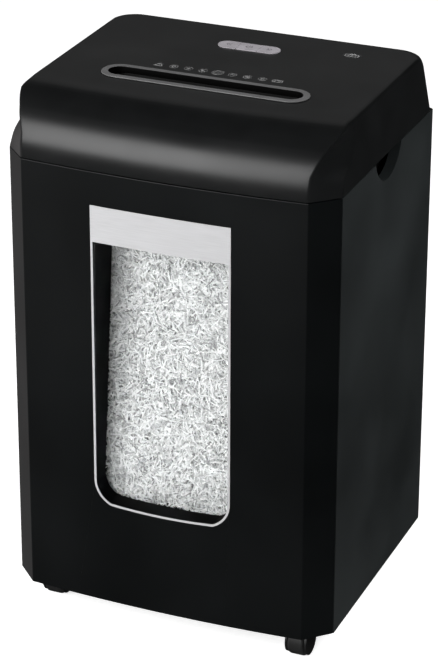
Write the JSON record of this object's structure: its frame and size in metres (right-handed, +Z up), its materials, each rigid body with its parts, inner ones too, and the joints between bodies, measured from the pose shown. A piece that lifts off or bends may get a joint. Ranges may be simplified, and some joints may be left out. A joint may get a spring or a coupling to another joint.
{
  "type": "paper shredder",
  "caption": "Upright office paper shredder on casters: rounded dark head with a wide feed slot and control buttons over a cabinet with a pull-out windowed bin.",
  "frame": {"origin": "centre of the footprint, on the floor under the wheels", "axes": "+Z up, front with the window and bin towards -Y, +X to the right as seen from the front"},
  "size_m": [0.393, 0.332, 0.6387],
  "materials": {
    "cabinet_board": "fine matt laminate",
    "front_panel": "satin, slightly mottled",
    "dark_moulding": "fine matt grain",
    "head_shell": "soft gloss",
    "bezel_grey": "satin",
    "key_grey": "satin",
    "switch_black": "soft gloss",
    "lens": "frosted",
    "circuit_board": "semi-gloss solder resist",
    "small_parts": "matt",
    "plate_steel": "zinc plated",
    "cutter_steel": "ground",
    "comb_steel": "pressed",
    "bush_bronze": "sintered bronze",
    "gear_steel": "cut",
    "gear_nylon": "moulded nylon",
    "motor_can": "satin",
    "motor_core": "wound",
    "fan_black": "moulded",
    "lever_grey": "moulded",
    "window_clear": "clear acrylic",
    "bright_trim": "brushed, blank",
    "shreds": "cross-cut strips",
    "caster_nylon": "moulded",
    "wheel_nylon": "moulded"
  },
  "bodies": {
    "housing": {"side_panel_left": "cabinet_board", "side_panel_right": "cabinet_board", "back_panel": "cabinet_board", "base_board": "cabinet_board", "bin_runner_left": "plate_steel", "bin_runner_right": "plate_steel", "caster_sleeves": "plate_steel", "housing_screws": "plate_steel", "head_cover": "head_shell", "head_base": "dark_moulding", "slot_bezel": "bezel_grey", "feed_chute": "dark_moulding", "button_guide": "dark_moulding", "status_lenses": "lens", "status_lamp": "lens", "control_board": "circuit_board", "tact_switches": "small_parts", "main_board": "circuit_board", "power_entry": "dark_moulding", "exhaust_grille": "dark_moulding", "paper_sensor": "dark_moulding", "left_frame_plate": "plate_steel", "right_frame_plate": "plate_steel", "tie_rods": "plate_steel", "front_stripper": "comb_steel", "rear_stripper": "comb_steel", "cutter_bushes": "bush_bronze", "motor_housing": "motor_can", "gear_axles": "plate_steel", "gear_cover": "dark_moulding", "reed_switch": "small_parts"},
    "front_cutter": {"front_cutter": "cutter_steel", "front_timing_gear": "gear_steel"},
    "rear_cutter": {"rear_cutter": "cutter_steel", "rear_timing_gear": "gear_steel", "main_gear": "gear_steel"},
    "second_gear": {"second_gear": "gear_nylon"},
    "first_gear": {"first_gear": "gear_nylon"},
    "motor_rotor": {"motor_rotor": "motor_core", "motor_fan": "fan_black"},
    "reverse_button": {"reverse_button": "key_grey"},
    "power_button": {"power_button": "key_grey"},
    "forward_button": {"forward_button": "key_grey"},
    "main_switch": {"main_switch": "switch_black"},
    "sensor_lever": {"sensor_lever": "lever_grey"},
    "bin": {"bin_tub": "dark_moulding", "bin_front": "front_panel", "window_pane": "window_clear", "window_frame": "bright_trim", "badge_plate": "bright_trim", "shredded_paper": "shreds", "bin_magnet": "small_parts"},
    "caster_fl": {"caster_fl_fork": "caster_nylon"},
    "wheel_fl": {"caster_fl_wheel": "wheel_nylon"},
    "caster_fr": {"caster_fr_fork": "caster_nylon"},
    "wheel_fr": {"caster_fr_wheel": "wheel_nylon"},
    "caster_rl": {"caster_rl_fork": "caster_nylon"},
    "wheel_rl": {"caster_rl_wheel": "wheel_nylon"},
    "caster_rr": {"caster_rr_fork": "caster_nylon"},
    "wheel_rr": {"caster_rr_wheel": "wheel_nylon"}
  },
  "joints": [
    {"name": "bin_slide", "type": "slide", "parent": "housing", "child": "bin", "axis": [0, -1, 0], "range_m": [0, 0.24]},
    {"name": "reverse_press", "type": "slide", "parent": "housing", "child": "reverse_button", "axis": [0, 0, -1], "range_m": [0, 0.0012], "stiffness_N_per_m": 300},
    {"name": "power_press", "type": "slide", "parent": "housing", "child": "power_button", "axis": [0, 0, -1], "range_m": [0, 0.0012], "stiffness_N_per_m": 300},
    {"name": "forward_press", "type": "slide", "parent": "housing", "child": "forward_button", "axis": [0, 0, -1], "range_m": [0, 0.0012], "stiffness_N_per_m": 300},
    {"name": "rear_cutter_turn", "type": "hinge", "parent": "housing", "child": "rear_cutter", "pos_m": [0, -0.02, 0.562], "axis": [1, 0, 0], "continuous": true},
    {"name": "front_cutter_turn", "type": "hinge", "parent": "housing", "child": "front_cutter", "pos_m": [0, -0.06, 0.562], "axis": [1, 0, 0], "continuous": true},
    {"name": "second_gear_turn", "type": "hinge", "parent": "housing", "child": "second_gear", "pos_m": [0.145, 0.0283, 0.57494], "axis": [1, 0, 0], "continuous": true},
    {"name": "first_gear_turn", "type": "hinge", "parent": "housing", "child": "first_gear", "pos_m": [0.135, 0.07655, 0.56643], "axis": [1, 0, 0], "continuous": true},
    {"name": "motor_turn", "type": "hinge", "parent": "housing", "child": "motor_rotor", "pos_m": [0.07, 0.04018, 0.58743], "axis": [1, 0, 0], "continuous": true},
    {"name": "main_switch_rock", "type": "hinge", "parent": "housing", "child": "main_switch", "pos_m": [-0.07, 0.161, 0.6012], "axis": [1, 0, 0], "range_deg": [0, 14]},
    {"name": "sensor_lever_swing", "type": "hinge", "parent": "housing", "child": "sensor_lever", "pos_m": [0, -0.021, 0.6112], "axis": [1, 0, 0], "range_deg": [0, 25], "stiffness_Nm_per_rad": 0.002},
    {"name": "caster_fl_swivel", "type": "hinge", "parent": "housing", "child": "caster_fl", "pos_m": [-0.157, -0.12, 0.05], "axis": [0, 0, 1], "continuous": true},
    {"name": "caster_fr_swivel", "type": "hinge", "parent": "housing", "child": "caster_fr", "pos_m": [0.157, -0.12, 0.05], "axis": [0, 0, 1], "continuous": true},
    {"name": "caster_rl_swivel", "type": "hinge", "parent": "housing", "child": "caster_rl", "pos_m": [-0.157, 0.124, 0.05], "axis": [0, 0, 1], "continuous": true},
    {"name": "caster_rr_swivel", "type": "hinge", "parent": "housing", "child": "caster_rr", "pos_m": [0.157, 0.124, 0.05], "axis": [0, 0, 1], "continuous": true},
    {"name": "wheel_fl_roll", "type": "hinge", "parent": "caster_fl", "child": "wheel_fl", "pos_m": [-0.157, -0.111, 0.019], "axis": [-1, 0, 0], "continuous": true},
    {"name": "wheel_fr_roll", "type": "hinge", "parent": "caster_fr", "child": "wheel_fr", "pos_m": [0.157, -0.129, 0.019], "axis": [1, 0, 0], "continuous": true},
    {"name": "wheel_rl_roll", "type": "hinge", "parent": "caster_rl", "child": "wheel_rl", "pos_m": [-0.15513, 0.1328, 0.019], "axis": [-0.9781, 0.2079, 0], "continuous": true},
    {"name": "wheel_rr_roll", "type": "hinge", "parent": "caster_rr", "child": "wheel_rr", "pos_m": [0.15887, 0.1152, 0.019], "axis": [0.9781, 0.2079, 0], "continuous": true}
  ],
  "couplings": [
    {"joint": "front_cutter_turn", "follows": "rear_cutter_turn", "ratio": -1},
    {"joint": "second_gear_turn", "follows": "rear_cutter_turn", "ratio": -2.5714},
    {"joint": "first_gear_turn", "follows": "rear_cutter_turn", "ratio": 7.7143},
    {"joint": "motor_turn", "follows": "rear_cutter_turn", "ratio": -23.143}
  ]
}
